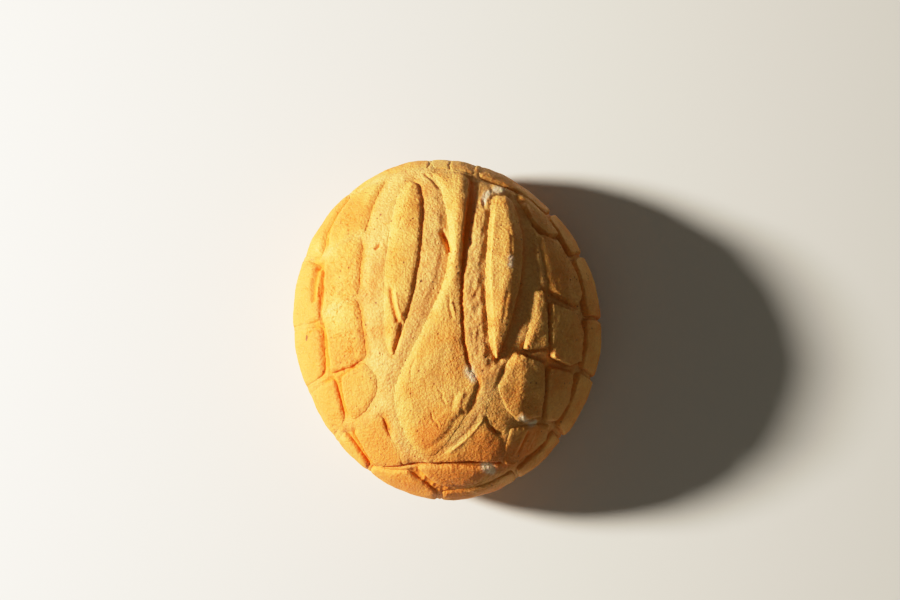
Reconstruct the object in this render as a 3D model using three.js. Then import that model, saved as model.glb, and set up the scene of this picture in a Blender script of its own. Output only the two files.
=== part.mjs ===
// A concha: a sweet bun with a domed crown and a flat foot, under a sugar paste that was cut before baking, so
// that the paste parted into separate plates as the dough swelled. Millimetres, +Z up, +Y along the bun's length,
// origin in the middle of the flat foot.
import * as THREE from "three";
import { mergeVertices } from "three/addons/utils/BufferGeometryUtils.js";
import { TessellateModifier } from "three/addons/modifiers/TessellateModifier.js";

// The bun of dough
const HALF_WIDTH = 55;
const HALF_LENGTH = 61;
const HEIGHT = 54.5;
const WIDEST_LEVEL = 19; // height at which the bun is widest
const FOOT_SHARE = 0.8; // the flat foot's radius over the widest radius
const CROWN_POWER = 2.25; // 2 is an ellipse, and more is a squarer shoulder
const MEAN_RADIUS = (HALF_WIDTH + HALF_LENGTH) / 2;
const BUN_SECTORS = 48;
const BUN_RINGS = 16;

// The plates of paste
const SEAT_GAP = 0.3; // clearance between a plate and the dough under it
const EDGE_ROUND = 1; // how far a plate's upper edge is rounded over
const EDGE_SHARE = 0.78; // a plate's thickness at its edge over its thickness in the middle
const CROWN_REACH = 5; // distance from the edge at which a plate is at its full thickness
const HEM_REACH = 82.5; // from the top of the crown, over the surface, to the paste's lowest edge
const CORNER_STEPS = 2;
const LEAST_STEP = 1.5; // nearer points of an outline are left out
const LONGEST_EDGE = 9;
const HEM_STEP = THREE.MathUtils.degToRad(9);

const PASTE = new THREE.MeshStandardMaterial({ color: 0xe3a552, roughness: 0.75, metalness: 0 });
const DOUGH = new THREE.MeshStandardMaterial({ color: 0xe9b873, roughness: 0.8, metalness: 0 });

// ---- the bun's surface ----

// Half of the bun's upright section, from the top of the crown to the edge of the flat foot.
class BunSection extends THREE.Curve {
  getPoint(t, target = new THREE.Vector2()) {
    const turn = (t < 0.5 ? t : t - 0.5) * Math.PI;
    if (t < 0.5) {
      const bend = 2 / CROWN_POWER;
      const rise = (HEIGHT - WIDEST_LEVEL) * Math.cos(turn) ** bend;
      return target.set(MEAN_RADIUS * Math.sin(turn) ** bend, WIDEST_LEVEL + rise);
    }
    const tuck = FOOT_SHARE + (1 - FOOT_SHARE) * Math.cos(turn);
    return target.set(MEAN_RADIUS * tuck, WIDEST_LEVEL * (1 - Math.sin(turn)));
  }
}

const section = new BunSection();
section.arcLengthDivisions = 600;
const SECTION_LENGTH = section.getLength();

// How far the bun's plan swells past a plain oval: it is fuller towards -X +Y than towards its other three corners.
function swell(angle) {
  const fromFullSide = angle - THREE.MathUtils.degToRad(135);
  const skew = 0.017 * Math.cos(2 * fromFullSide);
  const corner = 0.011 * (Math.cos(fromFullSide) + Math.cos(3 * fromFullSide));
  return 1 + skew + corner - 0.006 * (1 - Math.cos(4 * angle));
}

// A point of the round section turned by an angle about +Z, on the bun's oval plan.
function onPlan(radius, angle, height) {
  const reach = (radius / MEAN_RADIUS) * swell(angle);
  return new THREE.Vector3(HALF_WIDTH * reach * Math.cos(angle), HALF_LENGTH * reach * Math.sin(angle), height);
}

// The paste is laid out flat, as a map of the crown: (x, y) lies hypot(x, y) from the top of the crown, measured
// over the surface, in the direction of x and y. This gives the place that is lift above the dough there.
function onBun(x, y, lift) {
  const along = Math.hypot(x, y) / SECTION_LENGTH;
  const at = section.getPointAt(along);
  const slope = section.getTangentAt(along);
  return onPlan(at.x - slope.y * lift, Math.atan2(y, x), at.y + slope.x * lift);
}

// Moves every vertex of a geometry, and joins those that are left in one place.
function reshaped(geometry, place) {
  const from = geometry.getAttribute("position");
  const at = new THREE.Vector3();
  for (let i = 0; i < from.count; i++) {
    at.fromBufferAttribute(from, i);
    from.setXYZ(i, ...place(at).toArray());
  }
  geometry.deleteAttribute("normal");
  geometry.deleteAttribute("uv");
  const joined = mergeVertices(geometry, 1e-3);
  joined.computeVertexNormals();
  return joined;
}

function bun() {
  const side = section.getSpacedPoints(BUN_RINGS);
  const foot = new THREE.Vector2(0, 0);
  const lathe = new THREE.LatheGeometry([foot, ...side.reverse()], BUN_SECTORS).rotateX(Math.PI / 2);
  const geometry = reshaped(lathe, (at) => onPlan(Math.hypot(at.x, at.y), Math.atan2(at.y, at.x), at.z));
  const mesh = new THREE.Mesh(geometry, DOUGH);
  mesh.name = "bun";
  return mesh;
}

// ---- plates of paste ----

// An outline whose corners are rounded: each corner's curve takes this share of the half-edges beside it.
function softOutline(corners, share) {
  const points = corners.map(([x, y]) => new THREE.Vector2(x, y));
  const shape = new THREE.Shape();
  points.forEach((corner, i) => {
    const before = points.at(i - 1);
    const after = points[(i + 1) % points.length];
    const enter = corner.clone().lerp(before, share / 2);
    const leave = corner.clone().lerp(after, share / 2);
    if (i === 0) shape.moveTo(enter.x, enter.y);
    else shape.lineTo(enter.x, enter.y);
    shape.quadraticCurveTo(corner.x, corner.y, leave.x, leave.y);
  });
  shape.closePath();
  return shape.getPoints(CORNER_STEPS).filter((point, i, all) => point.distanceTo(all.at(i - 1)) > LEAST_STEP);
}

function distanceToOutline(at, outline) {
  const nearest = new THREE.Vector3();
  const edge = new THREE.Line3();
  return outline.reduce((least, point, i) => {
    const next = outline[(i + 1) % outline.length];
    edge.start.set(point.x, point.y, 0);
    edge.end.set(next.x, next.y, 0);
    edge.closestPointToPoint(at, true, nearest);
    return Math.min(least, Math.hypot(nearest.x - at.x, nearest.y - at.y));
  }, Infinity);
}

// A plate: its outline extruded flat with a rounded upper edge, then bent over the crown.
function plate(name, corners, thickness, share) {
  const outline = softOutline(corners, share);
  const flat = new THREE.ExtrudeGeometry(new THREE.Shape(outline), {
    depth: thickness - EDGE_ROUND,
    steps: 1,
    bevelThickness: EDGE_ROUND,
    bevelSize: EDGE_ROUND,
    bevelOffset: -EDGE_ROUND,
    bevelSegments: 1,
  });
  const fine = new TessellateModifier(LONGEST_EDGE, 8).modify(flat);
  const geometry = reshaped(fine, (at) => {
    const inward = Math.min(distanceToOutline(at, outline) / CROWN_REACH, 1);
    const crowning = EDGE_SHARE + (1 - EDGE_SHARE) * inward;
    return onBun(at.x, at.y, SEAT_GAP + Math.max(at.z, 0) * crowning);
  });
  const mesh = new THREE.Mesh(geometry, PASTE);
  mesh.name = name;
  return mesh;
}

// A plate of the lowest course: from its inner edge it runs straight down the bun's side to the paste's hem.
function rimOutline(innerEdge) {
  const [first, last] = [innerEdge[0], innerEdge.at(-1)];
  const start = Math.atan2(last[1], last[0]);
  let sweep = Math.atan2(first[1], first[0]) - start;
  sweep = THREE.MathUtils.euclideanModulo(sweep + Math.PI, 2 * Math.PI) - Math.PI;
  const steps = Math.max(2, Math.round(Math.abs(sweep) / HEM_STEP));
  const hem = Array.from({ length: steps + 1 }, (_, i) => {
    const angle = start + (sweep * i) / steps;
    const reach = HEM_REACH + 1.2 * Math.sin(5 * angle) + 0.8 * Math.cos(9 * angle);
    return [reach * Math.cos(angle), reach * Math.sin(angle)];
  });
  return [...innerEdge, ...hem];
}

// The middle motif: a slender neck that opens into a round belly, and has a short flared head.
const CENTRE = [
  [-6, 54.5], [-2, 48.5], [0, 40], [1.5, 26], [0, 14], [-5, 3], [-15, -13], [-20.5, -23], [-19.5, -33],
  [-13, -44.5], [-6, -46.5], [2, -37.5], [8, -29.5], [11.5, -21.5], [6.5, -15], [5, -4], [5, 12], [7, 30],
  [9, 44], [10.5, 53.5], [3, 55.5],
];

// A long leaf on each side of the neck.
const LEAVES = [
  [
    [-13, 51], [-9.5, 46.5], [-8.5, 36], [-9.5, 22], [-12.5, 6], [-17, -4], [-21, -13], [-23, -9], [-22.5, 6],
    [-21, 24], [-18.5, 42],
  ],
  [
    [22, 47.5], [27.5, 43], [30, 30], [28.5, 16], [24, 1], [18.5, -13], [16.5, -14], [14.5, -3], [14.5, 14],
    [16.5, 33], [18.5, 44],
  ],
];

// Blocks beside the left leaf, from the top down.
const LEFT_BLOCKS = [
  [[-23.5, 51.5], [-27, 44], [-30.5, 29.5], [-37, 29], [-45.5, 25.5], [-46.5, 33], [-42, 43.5], [-36.5, 50]],
  [[-30.5, 28], [-32.5, 8.5], [-39, 6.5], [-47.5, 4], [-47.5, 15], [-45.5, 24], [-38, 27]],
  [[-32.5, 7], [-31, -13], [-38, -15.5], [-47.5, -17.5], [-46.5, -6], [-47.5, 2.5], [-39, 5]],
  [[-31, -14.5], [-27, -20], [-28, -25.5], [-33, -31.5], [-40, -34.5], [-41.5, -26], [-41.5, -18.5], [-37, -17]],
];

// Blocks beside the right leaf, from the top down.
const RIGHT_BLOCKS = [
  [[29.5, 50.5], [36, 47], [42, 40.5], [46.5, 31.5], [40.5, 31.5], [35.5, 36], [31.5, 43]],
  [[35, 32.5], [39.5, 29.5], [46, 28.5], [50.5, 19], [53.5, 7.5], [50, 5.5], [39, 10], [37.5, 22]],
  [[33.5, 10.5], [36.2, 9], [37, -1], [37, -11], [27, -10], [31, -1]],
  [[39.5, 6.5], [50, 1.5], [53.5, -5], [52, -16], [46, -15.5], [39, -12.5], [38.5, -4]],
  [[25.5, -11], [30, -14], [36.5, -16], [36.5, -26], [35, -35], [25, -35], [21, -29], [18.5, -22], [22, -16]],
  [[38.5, -16], [50, -19.5], [48, -30], [42.5, -37], [37.5, -35.5], [38, -25]],
  [[15.5, -27.5], [14, -33], [16.5, -36.5], [20.5, -38.5], [23.5, -35.5], [19.5, -28]],
  [[24, -37], [34, -37.5], [41, -38.5], [39, -45], [31.5, -50], [25, -52], [21, -50], [22, -42.5]],
];

// Plates below the belly.
const FRONT_BLOCKS = [
  [[-25, -32.5], [-23.5, -39.5], [-19, -47], [-19, -51], [-31, -53], [-34.5, -47.5], [-39, -38], [-31, -36.5]],
  [[13, -32.5], [8, -38.5], [-7, -48.5], [6, -48.5], [19.5, -49.5], [20.5, -41], [16, -37.5]],
  [[-13, -50.5], [2, -50], [17.5, -52], [11, -58.5], [0, -60], [-7, -57]],
];

// Inner edges of the plates that run down to the hem, counter-clockwise from the middle of the far end.
const RIM_EDGES = [
  [[-4.5, 57.5], [4, 57.5], [12, 56]].reverse(),
  [[-38.5, 51], [-30, 55], [-18, 57.5], [-6.5, 58]].reverse(),
  [[-48.5, 23.5], [-48.5, 34], [-44.5, 42.5], [-40, 49.5]].reverse(),
  [[-49.5, 1], [-49.5, 11], [-49.5, 21]].reverse(),
  [[-50, -18], [-49, -9], [-49, -1]].reverse(),
  [[-42.5, -35], [-44, -27], [-44.5, -19.5]].reverse(),
  [[-35.5, -54], [-39, -47.5], [-43, -40]].reverse(),
  [[-6, -63], [-12, -57.5], [-15, -53], [-25, -55], [-33.5, -55.5]].reverse(),
  [[26, -55.5], [16, -60], [6, -62.5], [-3, -63]].reverse(),
  [[43, -41], [40.5, -47], [34, -52.5], [28, -54.5]].reverse(),
  [[52.5, -19], [50.5, -28], [45, -38.5]].reverse(),
  [[55.5, 0.5], [56, -8], [54, -17]].reverse(),
  [[53, 23.5], [54.5, 14], [56, 6], [55.5, 2.5]].reverse(),
  [[44, 40.5], [48.5, 33], [52, 25.5]].reverse(),
  [[14, 55.5], [22, 53.5], [29, 52.5], [37, 48], [42.5, 42.5]].reverse(),
];

const concha = new THREE.Group();
concha.add(bun(), plate("centre_plate", CENTRE, 3.1, 0.8));

const families = [
  ["leaf", LEAVES, 3.1, 0.7],
  ["left_block", LEFT_BLOCKS, 2.5, 0.35],
  ["right_block", RIGHT_BLOCKS, 2.7, 0.3],
  ["front_block", FRONT_BLOCKS, 2.5, 0.35],
  ["rim_block", RIM_EDGES.map(rimOutline), 2.3, 0.35],
];
for (const [family, outlines, thickness, share] of families) {
  outlines.forEach((corners, i) => concha.add(plate(`${family}_${i + 1}`, corners, thickness, share)));
}

export default concha;
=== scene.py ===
"""A concha: a domed sweet bun, with plates of baked sugar paste on its crown that parted as it rose.

The frame is in metres. The surface is worked out in millimetres, on a map of the crown: the place (x, y) on
the map lies hypot(x, y) from the top of the crown, over the dough, in the direction of x and y.
"""

import math
from collections import namedtuple

import bmesh
import bpy
import numpy as np
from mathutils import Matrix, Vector, geometry, kdtree


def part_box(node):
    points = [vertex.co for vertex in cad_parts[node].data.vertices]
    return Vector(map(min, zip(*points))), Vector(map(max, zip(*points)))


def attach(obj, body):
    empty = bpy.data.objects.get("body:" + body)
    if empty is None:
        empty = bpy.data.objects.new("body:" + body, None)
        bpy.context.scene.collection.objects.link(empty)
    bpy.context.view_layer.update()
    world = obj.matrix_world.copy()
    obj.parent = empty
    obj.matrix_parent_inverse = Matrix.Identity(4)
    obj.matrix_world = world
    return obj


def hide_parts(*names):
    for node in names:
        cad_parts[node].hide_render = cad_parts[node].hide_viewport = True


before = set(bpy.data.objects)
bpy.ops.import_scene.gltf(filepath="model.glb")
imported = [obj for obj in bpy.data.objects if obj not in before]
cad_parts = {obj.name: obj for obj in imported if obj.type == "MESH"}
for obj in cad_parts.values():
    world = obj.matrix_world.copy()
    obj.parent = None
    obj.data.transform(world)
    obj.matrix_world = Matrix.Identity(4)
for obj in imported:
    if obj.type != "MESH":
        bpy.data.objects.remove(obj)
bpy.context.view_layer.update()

MM = 0.001

# ---- the dough's plain surface ----

bun_low, bun_high = (np.array(corner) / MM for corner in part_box("bun"))
HALF_WIDTH, HALF_LENGTH = (bun_high - bun_low)[:2] / 2
HEIGHT = bun_high[2]
WIDEST_LEVEL = 19  # height of the widest line
FOOT_SHARE = 0.8  # the flat foot's radius over the widest radius
CROWN_POWER = 2.25  # 2 is an ellipse, and more is a squarer shoulder
MEAN_RADIUS = (HALF_WIDTH + HALF_LENGTH) / 2
SECTION_STEPS = 900  # in the crown's half of the section, and as many in the tuck under it
FULL_SIDE = math.radians(135)  # the direction in which the plan is fullest
SKEW, FULLNESS, PULLED_IN = 0.017, 0.011, 0.006  # how the plan leaves a plain oval, as shares of its radius
TINY = 1e-9  # stands in for a zero that something would be divided by


def bun_section():
    """Half of the bun's upright section, from crown to foot.

    It gives the distance along it, the radius, the height, and the outward normal's two parts.
    """
    turn = np.linspace(0, np.pi / 2, SECTION_STEPS)
    bend = 2 / CROWN_POWER
    sine, cosine = np.sin(turn), np.abs(np.cos(turn))
    crown = np.stack([sine**bend, WIDEST_LEVEL + (HEIGHT - WIDEST_LEVEL) * cosine**bend])
    tuck = np.stack([FOOT_SHARE + (1 - FOOT_SHARE) * cosine, WIDEST_LEVEL * (1 - sine)])
    radius, height = np.concatenate([crown, tuck[:, 1:]], axis=1)
    radius = radius * MEAN_RADIUS
    run, fall = np.gradient(radius), np.gradient(height)
    along = np.concatenate([[0], np.cumsum(np.hypot(np.diff(radius), np.diff(height)))])
    length = np.hypot(run, fall)
    return along, radius, height, -fall / length, run / length


ALONG, RADIUS, LEVEL, OUT_SIDE, OUT_UP = bun_section()


def swell(angle):
    """The plan's radius over a plain oval's: it is fuller towards -X +Y than towards its other corners."""
    from_full_side = angle - FULL_SIDE
    skew = SKEW * np.cos(2 * from_full_side)
    corner = FULLNESS * (np.cos(from_full_side) + np.cos(3 * from_full_side))
    return 1 + skew + corner - PULLED_IN * (1 - np.cos(4 * angle))


def on_bun(x, y, lift):
    """Points that are lift outside the dough's plain surface at map places x, y."""
    along, angle = np.hypot(x, y), np.arctan2(y, x)
    radius = np.interp(along, ALONG, RADIUS) + lift * np.interp(along, ALONG, OUT_SIDE)
    height = np.interp(along, ALONG, LEVEL) + lift * np.interp(along, ALONG, OUT_UP)
    reach = radius / MEAN_RADIUS * swell(angle)
    across = HALF_WIDTH * reach * np.cos(angle)
    lengthways = HALF_LENGTH * reach * np.sin(angle)
    return np.stack([across, lengthways, height], axis=-1)


def off_bun(points):
    """Map places of points that lie near the dough's plain surface, and how far off it they are."""
    angle = np.arctan2(points[:, 1] / HALF_LENGTH, points[:, 0] / HALF_WIDTH)
    reach = np.hypot(points[:, 1] / HALF_LENGTH, points[:, 0] / HALF_WIDTH)
    radius = reach * MEAN_RADIUS / swell(angle)
    gaps = np.hypot(RADIUS - radius[:, None], LEVEL - points[:, 2, None])
    along = ALONG[np.argmin(gaps, axis=1)]
    return np.stack([along * np.cos(angle), along * np.sin(angle)], axis=-1), gaps.min(axis=1)


# ---- uneven surfaces ----

SLOPES = 4096  # a power of 2
MIXERS = (73856093, 19349663, 83492791)  # large odd numbers, which scatter neighbouring cells over the slopes
FULL_SWING = 1.6  # brings the noise to about 1 either way
FINER_SHIFT = 17.3  # keeps finer noise from lining up with the one that it lies on
STRAY = 0.45  # how far a scattered place lies from its cell's middle


class Grain:
    """Smooth noise in space, from about -1 to 1, that swings once in about a unit of length.

    Each seed gives its own noise.
    """

    def __init__(self, seed):
        slopes = np.random.default_rng(seed).normal(size=(SLOPES, 3))
        self.slopes = slopes / np.linalg.norm(slopes, axis=1, keepdims=True)

    def slope_of(self, cell):
        """The direction that belongs to each cell."""
        mixed = cell * MIXERS
        return self.slopes[(mixed[:, 0] ^ mixed[:, 1] ^ mixed[:, 2]) & (SLOPES - 1)]

    def smooth(self, points):
        cell = np.floor(points).astype(np.int64)
        part = points - cell
        ease = part**3 * (part * (part * 6 - 15) + 10)
        total = np.zeros(len(points))
        for corner in np.ndindex(2, 2, 2):
            step = np.array(corner)
            weight = np.prod(np.where(step, ease, 1 - ease), axis=1)
            total += weight * np.einsum("ij,ij->i", self.slope_of(cell + step), part - step)
        return FULL_SWING * total

    def rough(self, points):
        """The noise, with noise on it that is twice as fine and half as high."""
        return self.smooth(points) + 0.5 * self.smooth(points * 2 + FINER_SHIFT)

    def lumps(self, points):
        """Distance to the nearest of scattered places, one in each cell. Turned over, it is small domes."""
        cell = np.floor(points).astype(np.int64)
        least = np.full(len(points), np.inf)
        for corner in np.ndindex(3, 3, 3):
            near = cell + np.array(corner) - 1
            place = near + 0.5 + STRAY * self.slope_of(near)
            least = np.minimum(least, np.linalg.norm(points - place, axis=1))
        return least


BROAD, MIDDLE, FINE, TEAR = (Grain(seed) for seed in (11, 23, 37, 41))


class Layer(namedtuple("Layer", "height size")):
    """One grade of unevenness: how high it stands, and how wide it is."""

    def of(self, noise, at):
        return self.height * noise(at / self.size)


SWELLING, DENTS, WRINKLES, SAND = Layer(0.35, 14), Layer(0.2, 5), Layer(0.07, 2.1), Layer(0.03, 0.7)
GRAINS, GRAIN_RIM = Layer(0.07, 1.25), 0.55  # domes, level with the surface at this share of their size
CRACKLE, CRACKLE_RIM = Layer(0.3, (2.2, 1.2, 1.6)), 0.2  # thin ridges, where the paste has dried
WANDER, NIBBLES = Layer(1, 3.1), Layer(0.6, 1.1)  # along a plate's outline
CRUMBS = Layer(1.6, 1.1)  # on a plate's edge
BILLOWS, BILLOW_RIM, BILLOW_BEND = Layer(0.7, (2.4, 5, 3)), 0.35, Layer(0.2, 3)  # of torn dough
LUMPS = Layer(0.12, (1.4, 2.2, 1.4))  # on the billows


def ramp(value, start, end):
    """0 before start, 1 past end, and a smooth rise between them."""
    part = np.clip((value - start) / (end - start), 0, 1)
    return part * part * (3 - 2 * part)


def distance_to(x, y, path, closed=False):
    """Distance on the map from places x, y to a path of straight stretches."""
    path = np.asarray(path, float)
    if closed:
        path = np.concatenate([path, path[:1]])
    least = np.full(len(x), np.inf)
    for start, end in zip(path[:-1], path[1:]):
        side = end - start
        part = ((x - start[0]) * side[0] + (y - start[1]) * side[1]) / max(side @ side, TINY)
        part = np.clip(part, 0, 1)
        least = np.minimum(least, np.hypot(x - start[0] - part * side[0], y - start[1] - part * side[1]))
    return least


def inside(x, y, outline):
    """Whether the map places x, y lie in an outline."""
    within = np.zeros(len(x), bool)
    for start, end in zip(outline, np.roll(outline, -1, axis=0)):
        spans = (start[1] > y) != (end[1] > y)
        rise = end[1] - start[1] if end[1] != start[1] else TINY
        within ^= spans & (x < start[0] + (y - start[1]) * (end[0] - start[0]) / rise)
    return within


# ---- creases, slits and ridges ----

Mark = namedtuple("Mark", "path width height")  # along a path on the map; a height below 0 sinks
FADED = 3  # widths or reaches from its path at which a mark or a seam counts no more
DEEP_CREASE = 1.3  # a crease this deep counts in full

MARKS = [
    # slits in the left leaf and at its tip, and a thin lip between them
    Mark([(-19.6, 9), (-19, 4), (-18, -0.5)], 0.9, -0.9),
    Mark([(-16.8, -1.5), (-17.7, -5), (-19.6, -10)], 0.7, -0.8),
    Mark([(-18, 8), (-17.2, 3), (-16.6, 1)], 0.5, 0.3),
    # shallow folds in the right leaf
    Mark([(27.2, 41), (27, 37)], 0.6, -0.25),
    Mark([(24, 31), (24.6, 27), (24.4, 22)], 0.5, -0.12),
    Mark([(22, 8), (20.6, 3), (20, -1)], 0.7, -0.2),
    # the folded corner of the belly
    Mark([(5, -24.6), (3.8, -27.5), (3.4, -30)], 1.0, 0.35),
    Mark([(2, -25.6), (1.2, -28.4)], 0.8, -0.3),
    Mark([(8.6, -22.5), (7.8, -26), (6, -29)], 1.6, 0.3),
    # the broad crests of the neck, the right leaf and the block beside the belly
    Mark([(6.8, 52), (6, 46), (4.9, 36), (4.2, 24), (2.6, 12)], 2.4, 0.55),
    Mark([(24, 42), (24.4, 30), (23, 15), (19.6, 1)], 3.0, 0.65),
    Mark([(28, -15), (27, -29)], 3.0, 0.55),
    # hairline cracks on the belly and the leaves, one with a raised lip
    Mark([(-3.6, -23.4), (-2.2, -24.6), (-2.4, -26), (-1.2, -27.6)], 0.3, -0.3),
    Mark([(-6.4, -31), (-6, -33), (-4.6, -33.8), (-3.8, -35.4)], 0.3, -0.35),
    Mark([(1.8, 0), (0.8, 3.5), (0.9, 7)], 0.5, -0.25),
    Mark([(2.8, 1), (1.8, 5)], 0.4, 0.25),
    Mark([(-12, -13), (-13.5, -16), (-13.8, -19)], 0.3, -0.25),
    Mark([(21.5, 21), (23, 19.5), (24.6, 21)], 0.3, -0.15),
    Mark([(-17, 30), (-16, 33.5)], 0.3, -0.3),
    # the grooves outside the left blocks, with a thin ridge between them, and a pit in the band
    Mark([(-50.3, 20.3), (-51.6, 15), (-51.8, 9)], 1.3, -1.3),
    Mark([(-47.8, 21.2), (-50.6, 20.2)], 0.7, -0.7),
    Mark([(-48.6, 18.5), (-49.6, 10)], 0.7, 0.6),
    Mark([(-47.1, 18), (-47.6, 12), (-48.3, 8), (-48.6, 0)], 0.8, -0.9),
    Mark([(-25.2, 23.6), (-24.1, 24.6)], 0.6, -1.0),
    # a torn notch beside the neck
    Mark([(-1, 28.5), (0.6, 25.2), (1.6, 22.8)], 1.1, -1.3),
    # two folds of the belly's lower edge, and the raised lip of the plate in front of it
    Mark([(5.2, -31), (2, -33.5), (0, -37), (-4, -40.5), (-8, -43)], 1.1, -0.3),
    Mark([(10.6, -32.6), (7.5, -36.5), (3, -40.5), (-2, -43.8)], 0.8, -0.25),
    Mark([(12.4, -33.3), (9.5, -36.8), (5, -40.8), (0, -44.2)], 0.6, 0.3),
    # the long crease above the lowest plates
    Mark([(-31, -54), (-20, -51), (-12, -49.6), (0, -48.9), (8, -48.9), (14, -49.6), (20, -50.6)], 0.5, -1.3),
    # tears and a ridge at the far end, and a dip beside the right leaf's head
    Mark([(-7.6, 53), (-5, 50.6), (-2.6, 47)], 0.7, -0.5),
    Mark([(-6.9, 57.5), (-6.2, 62)], 0.4, -0.4),
    Mark([(2.2, 57.4), (1.7, 60), (2.5, 62), (2.2, 64)], 0.4, -0.35),
    Mark([(3.5, 56), (10.5, 54.8)], 0.8, 0.35),
    Mark([(29.8, 46.8), (31.6, 44.8)], 1.6, -0.6),
    # a small rise beyond the right leaf's head
    Mark([(20.5, 50.5), (23.6, 49.2)], 1.6, 0.6),
    # a ridge between the right leaf and the blocks
    Mark([(32.5, 43), (34.4, 35), (35, 25), (34.4, 14)], 1.2, 0.6),
    # the lower edge of the flap between the right blocks and the belly
    Mark([(13.6, -33.2), (15.2, -36.2), (17.2, -37.8), (19.4, -38.8)], 0.7, -0.7),
    # the low right side of the lowest right block
    Mark([(34, -40), (31, -49)], 5.0, -1.0),
    # two small rises beyond it, which catch the light
    Mark([(28, -33), (29.4, -34.8)], 1.2, 0.5),
    Mark([(32.4, -36), (34, -36.6)], 1.2, 0.5),
    # folds of the lowest right block, and the lip at its front
    Mark([(30.6, -39.5), (27.6, -46.5)], 0.8, -0.6),
    Mark([(28.4, -40.5), (25.2, -47)], 0.7, 0.3),
    Mark([(34, -41), (31.6, -46)], 0.6, 0.25),
    Mark([(21.8, -49.8), (26, -51.6), (31, -52.6)], 0.7, 0.5),
    # the wide groove between the two lowest plates, with strands of dough across it
    Mark([(-13.6, -53.4), (-9.5, -57.6), (-4.5, -61)], 1.9, -0.45),
    Mark([(-11, -57), (-10, -55)], 0.6, 0.3),
    Mark([(-7.4, -59.6), (-6.4, -57.8)], 0.4, 0.3),
]


def close_to(x, y, path, reach):
    """Which of the map places x, y lie in a path's bounding box, widened by reach."""
    (left, low), (right, high) = np.min(path, axis=0) - reach, np.max(path, axis=0) + reach
    return np.flatnonzero((x > left) & (x < right) & (y > low) & (y < high))


def marked(x, y):
    """How far the creases, slits and ridges raise the surface at map places x, y."""
    total = np.zeros(len(x))
    for mark in MARKS:
        near = close_to(x, y, mark.path, FADED * mark.width)
        away = distance_to(x[near], y[near], mark.path) / mark.width
        total[near] += mark.height * np.exp(-(away**2))
    return total


def hollow(x, y):
    """How far a place lies in a crease or slit, from 0 to 1."""
    return np.clip(-marked(x, y) / DEEP_CREASE, 0, 1)


# round spots on the map, each with its place and reach
# pale spots of icing sugar that has settled, which also stand in for a painted sheen
SUGAR_AND_SHEEN = [
    (22.6, 48.8, 2.0), (20.4, 48.4, 1.6), (17.3, 46.6, 1.5), (16, 45, 1.4), (15.3, 43.2, 1.2),
    (14.9, 41.4, 1.0), (24, 20, 1.3), (23.6, 17.5, 1.2),
    (7.5, -17.5, 2.0), (9, -20, 1.4),
    (27.4, -33.6, 1.6), (29.4, -35, 1.0), (31.8, -36.4, 1.5), (33.8, -36, 1.0),
    (13.5, -50.5, 1.8), (15.5, -52, 2.0), (16.8, -53.6, 1.6),
]
# dark crumbs and pits
SPECKS = [
    (-9, 12, 0.5), (-5, 11.7, 0.4), (-23, -37.3, 0.5), (-30, -1.5, 0.4), (-15, 18, 0.35), (-19.8, 33, 0.4),
    (12.5, -17.5, 0.4), (-25.5, 5.5, 0.4), (-24, 35.8, 0.5), (-25.3, 34.6, 0.4),
    (-56.4, -5, 0.7), (-55.9, -4, 0.7), (-39, 17, 0.3), (-39.4, 15, 0.3),
    (-22, -24, 0.3), (-16, -14, 0.35), (-24.4, -15, 0.35), (4, -2, 0.3), (14, -13, 0.35),
]
# where the paste has dried to a crackle
CRACKLED = [(-38, 20, 8), (-39, 10, 8), (-39, 0, 8), (-39, -9, 7), (-36, 36, 5), (-54, 24, 4), (-53, -2, 4)]
# where the crust is darker and warmer, partly browning and partly painted shade on the left side that faces
# the light
WARMER_AND_PAINTED_SHADE = [
    (-50, 5, 24), (-44, -30, 16), (-60, 12, 12), (-58, -20, 9), (-36, 40, 9), (-50, 42, 9),
    (-25, -62, 12), (0, -56, 12), (-8, -38, 6), (18, -46, 10), (-28, -46, 9),
]
# where it is paler, partly its own tone and partly painted light on the lit flanks of the neck and the right
# leaf
PALER_AND_PAINTED_LIGHT = [
    (-9, 16, 6), (2, 46, 6), (3, 30, 5), (2, 14, 5), (0, 64, 12), (-40, 3, 7),
    (12.5, 20, 6), (20, 38, 5), (19.5, 27, 6), (18, 14, 5),
]


def spotted(x, y, spots):
    """How far the map places x, y lie in round spots, from 0 to 1."""
    total = sum(np.exp(-((x - a) ** 2 + (y - b) ** 2) / reach**2) for a, b, reach in spots)
    return np.clip(total, 0, 1)


# ---- how the crown lies along the cuts ----

# a path on the map, how far the seam reaches to its sides, and what lies along it: how high the dough swells,
# how deep the cut is below that, how wide the plates' edge is rounded, how torn the dough is, and how far
# the cut is browned, which is partly real browning and partly painted shade with a painted orange glow
Seam = namedtuple("Seam", "path reach band cut edge torn brown")

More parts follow.
